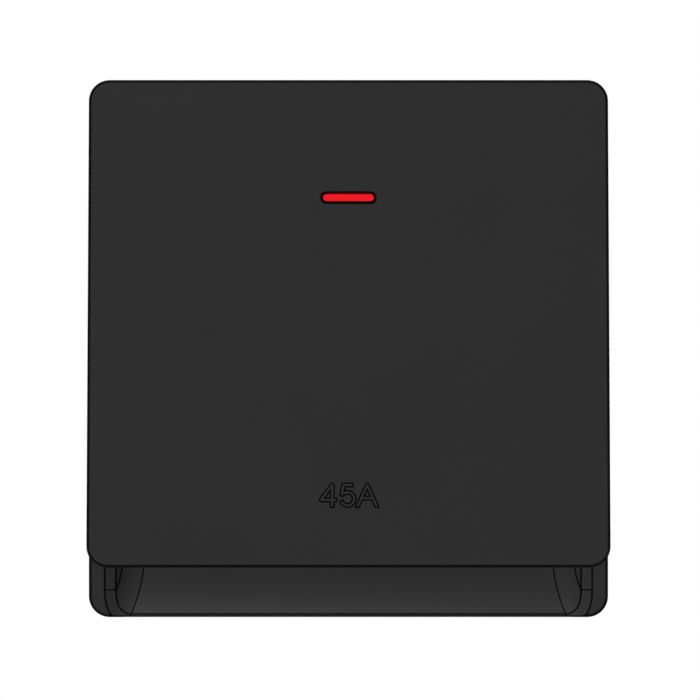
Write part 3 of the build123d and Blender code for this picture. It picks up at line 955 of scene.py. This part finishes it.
@dataclass
class HousingScrews:
    """Four pan head screws with cross recesses in the housing's ears.

    Each is a lathe surface: a profile of radius and depth carried round an axis along Y. The head's
    depth drops by the recess, a smooth cross, and the shank's radius rises by a saw tooth thread.
    """

    across: float = 22.15
    up: float = 25.0
    seat_depth: float = 6.0
    head_radius: float = 2.5
    head_height: float = 1.8
    head_crown: float = 0.25
    head_round: float = 0.5
    shank_radius: float = 1.3
    neck: float = 1.2
    tip_radius: float = 0.25
    tip_length: float = 1.2
    thread_depth: float = 0.3
    thread_pitch: float = 0.9
    bite: float = 5.4
    recess_reach: float = 1.45
    recess_width: float = 0.62
    recess_depth: float = 1.1
    recess_flank: float = 0.14
    recess_slope: float = 0.5
    around: int = 96
    innermost: float = 0.05
    head_rows: int = 30
    round_rows: int = 8
    shank_rows: int = 110

    def recess(self, x: np.ndarray, z: np.ndarray) -> np.ndarray:
        """Works out the cross recess: two crossed bars with soft flanks that rise towards their ends.

        Args:
            x: Positions of the head's points.
            z: Positions of the head's points.

        Returns:
            Depth of the recess under the points.
        """
        far = np.maximum(np.abs(x), np.abs(z))
        near = np.minimum(np.abs(x), np.abs(z))
        arm = np.clip((self.recess_width / 2 - near) / self.recess_flank + 0.5, 0, 1)
        end = np.clip((self.recess_reach - far) / self.recess_slope, 0, 1)
        return self.recess_depth * np.sqrt(arm * end)

    def profile(self) -> tuple[np.ndarray, np.ndarray]:
        """Lays out the profile: crowned top, rounded edge, flat underside, shank and tip.

        Returns:
            Radius and depth along the profile, with the underside of the head at depth 0.
        """
        flat = self.head_radius - self.head_round
        rim = self.head_height - self.head_crown
        top_radius = np.linspace(self.innermost, 1, self.head_rows) * flat
        crown = self.head_crown * (1 - (top_radius / flat) ** 2)
        bend = np.radians(np.linspace(0, 90, self.round_rows))[1:]
        edge_radius = flat + self.head_round * np.sin(bend)
        edge_depth = rim - self.head_round * (1 - np.cos(bend))
        tip = -self.seat_depth - self.bite
        shank_depth = np.linspace(0, tip + self.tip_length, self.shank_rows)
        shank_radius = np.full(self.shank_rows, self.shank_radius)
        radius = np.concatenate([top_radius, edge_radius, [self.head_radius], shank_radius, [self.tip_radius]])
        depth = np.concatenate([rim + crown, edge_depth, [0.0], shank_depth, [tip]])
        return radius, depth

    def screw(self) -> Mesh:
        """Carries the profile round the Y axis, and cuts the thread and the recess.

        Returns:
            One screw, with the underside of its head at Y = 0.
        """
        radius, depth = self.profile()
        turn = np.linspace(0, 2 * np.pi, self.around, endpoint=False)
        ring_radius, ring_turn = np.meshgrid(radius, turn, indexing="ij")
        ring_depth = np.repeat(depth[:, None], self.around, 1)
        tip = -self.seat_depth - self.bite
        phase = (ring_depth / self.thread_pitch + ring_turn / (2 * np.pi)) % 1
        groove = self.thread_depth * np.abs(2 * phase - 1)
        shank = (ring_depth < -self.neck) & (ring_depth > tip)
        ring_radius = np.where(shank, ring_radius - groove, ring_radius)
        x = ring_radius * np.cos(ring_turn)
        z = ring_radius * np.sin(ring_turn)
        head = np.arange(len(radius))[:, None] < self.head_rows
        ring_depth = ring_depth - np.where(head, self.recess(x, z), 0)
        rows = np.stack([x, ring_depth, z], -1)
        start = np.array([0.0, self.head_height - self.recess_depth, 0.0])
        return Mesh.lathe(rows, start, np.array([0.0, tip, 0.0]))

    def build(self) -> bpy.types.Object:
        """Makes the four screws in one piece.

        Returns:
            The new piece.
        """
        one = self.screw()
        places = [(x, self.seat_depth, z) for x in (self.across, -self.across) for z in (self.up, -self.up)]
        mesh = one.shifted(places[0])
        for place in places[1:]:
            mesh = mesh.plus(one.shifted(place))
        made = mesh.piece("housing_screw_set", ZINC, Body.BASE, Slot.ZINC_STEEL)
        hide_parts("housing_screws")
        return made


@dataclass
class PlungerSpring:
    """Round wire spring in one plunger tube.

    The surface is a circle carried along a helix, whose pitch falls to the wire's own width at both
    ends, so that the last coils lie closed.
    """

    pole: str
    x: float
    seat_front: float = 3.6
    length: float = 7.0
    wire: float = 0.5
    coil_radius: float = 1.75
    turns: float = 6.0
    travel: float = 0.8
    steps: int = 28
    around: int = 12
    pivot_front: float = PIVOT_FRONT
    tilt: float = ROCKER_TILT

    def coil(self) -> Mesh:
        """Carries the wire's circle along the helix.

        Returns:
            The spring about the Y axis.
        """
        run = np.linspace(0, 1, int(self.turns * self.steps))
        turn = 2 * np.pi * self.turns * run
        share = np.clip((run * self.turns - 1) / (self.turns - 2), 0, 1)
        closed = self.wire * (np.minimum(run * self.turns, 1) + np.maximum((run - 1) * self.turns + 1, 0))
        rise = closed + (self.length - 3 * self.wire) * share
        depth = rise + self.wire / 2 - self.seat_front
        none = np.zeros_like(turn)
        out = np.stack([np.cos(turn), none, np.sin(turn)], -1)
        line = np.stack([none, depth, none], -1) + self.coil_radius * out
        around = np.linspace(0, 2 * np.pi, self.around, endpoint=False)
        along = np.array([0.0, 1.0, 0.0])
        ring = np.cos(around)[None, :, None] * out[:, None] + np.sin(around)[None, :, None] * along
        return Mesh.lathe(line[:, None] + self.wire / 2 * ring, line[0], line[-1])

    def build(self) -> bpy.types.Object:
        """Makes the spring.

        Returns:
            The new piece.
        """
        mesh = self.coil().shifted((self.x, 0.0, 0.0)).tilted(self.pivot_front, self.tilt)
        made = mesh.piece(f"round_wire_spring_{self.pole}", SPRING, Body.ROCKER, Slot.SPRING_STEEL)
        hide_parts(f"plunger_spring_{self.pole}")
        self.shorten(made)
        return made

    def shorten(self, made: bpy.types.Object) -> None:
        """Gives the spring's object its own copy of its mesh.

        Args:
            made: The spring's object.
        """
        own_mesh(made)


@dataclass
class Rocker:
    """Wide rocker with its red light guide and raised rating."""

    lens_along: float = 24.58
    pivot_front: float = PIVOT_FRONT
    face_front: float = FACE_FRONT
    tilt: float = ROCKER_TILT
    mark: RatingMark = field(default_factory=RatingMark)

    def build(self) -> None:
        """Dresses the rocker's nodes and makes its mark."""
        dress(SATIN_BLACK, "rocker_plate")
        turn = radians(self.tilt)
        reach = self.pivot_front - self.face_front
        height = self.lens_along * np.cos(turn) + reach * np.sin(turn)
        dress(replace(RED_LENS, height=float(height)), "indicator_lens")
        self.mark.build()


@dataclass
class Surround:
    """Front frame, mounting plate and rear housing."""

    screws: HousingScrews = field(default_factory=HousingScrews)

    def build(self) -> None:
        """Dresses the mouldings and makes the housing's screws."""
        dress(FRAME_BLACK, "front_frame")
        dress(BLACK_NYLON, "mounting_plate")
        dress(GREY_NYLON, "rear_housing")
        self.screws.build()


@dataclass
class Pole:
    """One pole: plunger, spring, see-saw contact and terminals."""

    name: str
    x: float

    def build(self) -> None:
        """Dresses the pole's nodes and makes its spring."""
        dress(WHITE_NYLON, f"plunger_{self.name}")
        dress(COPPER, f"contact_bar_{self.name}")
        dress(SILVER, f"moving_tip_{self.name}", f"fixed_tip_{self.name}")
        dress(BRASS, f"load_strip_{self.name}", f"supply_strip_{self.name}")
        dress(BRASS, f"load_terminal_{self.name}", f"supply_terminal_{self.name}")
        dress(TINNED, f"lamp_lead_{self.name}")
        PlungerSpring(self.name, self.x).build()


@dataclass
class Inside:
    """Dolly, clamping screws, lamp and resistor."""

    pole_offset: float = 13.0

    def build(self) -> None:
        """Dresses the inner nodes and builds both poles."""
        dress(BLACK_NYLON, "dolly")
        dress(ZINC, "terminal_screws")
        dress(GLASS, "indicator_lamp")
        dress(LACQUER, "lamp_resistor")
        Pole("line", self.pole_offset).build()
        Pole("neutral", -self.pole_offset).build()


@dataclass(frozen=True)
class Lamp:
    """One soft area lamp that faces the switch."""

    name: str
    place: Point
    size: tuple[float, float]
    power: float
    shadow: bool = True

    def build(self) -> None:
        """Makes the lamp."""
        data = bpy.data.lights.new(self.name, "AREA")
        data.use_shadow = self.shadow
        data.shape = "RECTANGLE"
        data.size, data.size_y = self.size
        data.energy = self.power
        made = bpy.data.objects.new(self.name, data)
        made.location = self.place
        made.rotation_mode = "QUATERNION"
        made.rotation_quaternion = (-made.location).to_track_quat("-Z", "Y")
        bpy.context.scene.collection.objects.link(made)


@dataclass
class Studio:
    """White surroundings, pale floor, soft lamps and the photo's camera. Lengths are in metres."""

    floor_height: float = -0.16
    floor_half: float = 0.7
    ambient: float = 0.07
    camera_place: Point = (0.0, -0.4072, -0.00024)
    camera_shift: float = 0.0022
    lens: float = 122.87
    sensor: float = 36.0
    nearest: float = 0.01
    lamps: tuple[Lamp, ...] = (
        Lamp("key_lamp", (-0.52, -0.74, -0.3), (0.5, 0.06), 0.87),
        Lamp("fill_lamp", (0.52, -0.74, -0.3), (0.5, 0.06), 0.82),
        Lamp("scoop_lamp", (-0.42, -0.6, 1.646), (0.6, 0.6), 51.0, False),
        Lamp("back_lamp", (0.3, 0.7, 0.5), (0.5, 0.5), 3.6),
    )

    def build(self) -> None:
        """Makes the studio."""
        self.world()
        self.floor()
        for lamp in self.lamps:
            lamp.build()
        self.camera()
        bpy.context.scene.view_settings.view_transform = "Standard"

    def world(self) -> None:
        """White for what is seen, mirrored or looked through, and a softer light on the rest."""
        world = bpy.data.worlds.new("white_room")
        bpy.context.scene.world = world
        world.use_nodes = True
        graph = Graph(world.node_tree)
        camera = graph.add("ShaderNodeLightPath", output="Is Camera Ray")
        seen = camera.either(camera.other("Is Glossy Ray")).either(camera.other("Is Transmission Ray"))
        colour = rgba((1, 1, 1))
        soft = graph.add("ShaderNodeBackground", inputs={"Color": colour, "Strength": self.ambient})
        white = graph.add("ShaderNodeBackground", inputs={"Color": colour, "Strength": 1.0})
        both = graph.add("ShaderNodeMixShader", inputs={0: seen, 1: soft, 2: white})
        graph.end("ShaderNodeOutputWorld", both)

    def floor(self) -> None:
        """Pale floor below the switch, outside the photo's view."""
        half = self.floor_half
        corners = [(-half, -half), (half, -half), (half, half), (-half, half)]
        data = bpy.data.meshes.new("floor")
        data.from_pydata([(x, y, 0.0) for x, y in corners], [], [(0, 1, 2, 3)])
        data.materials.append(FLOOR.material())
        made = bpy.data.objects.new("floor", data)
        made.location.z = self.floor_height
        bpy.context.scene.collection.objects.link(made)

    def camera(self) -> None:
        """Camera square to the wall, as in the photo."""
        data = bpy.data.cameras.new("photo_camera")
        data.lens = self.lens
        data.sensor_width = self.sensor
        data.shift_x = self.camera_shift
        data.clip_start = self.nearest
        made = bpy.data.objects.new("photo_camera", data)
        made.location = self.camera_place
        made.rotation_euler = (radians(90), 0, 0)
        bpy.context.scene.collection.objects.link(made)
        bpy.context.scene.camera = made


def main() -> None:
    """Builds the looks in order: mouldings, rocker, inner pieces, studio."""
    logging.basicConfig(level=logging.INFO, format="%(message)s")
    Surround().build()
    Rocker().build()
    Inside().build()
    Studio().build()


if __name__ == "__main__":
    main()
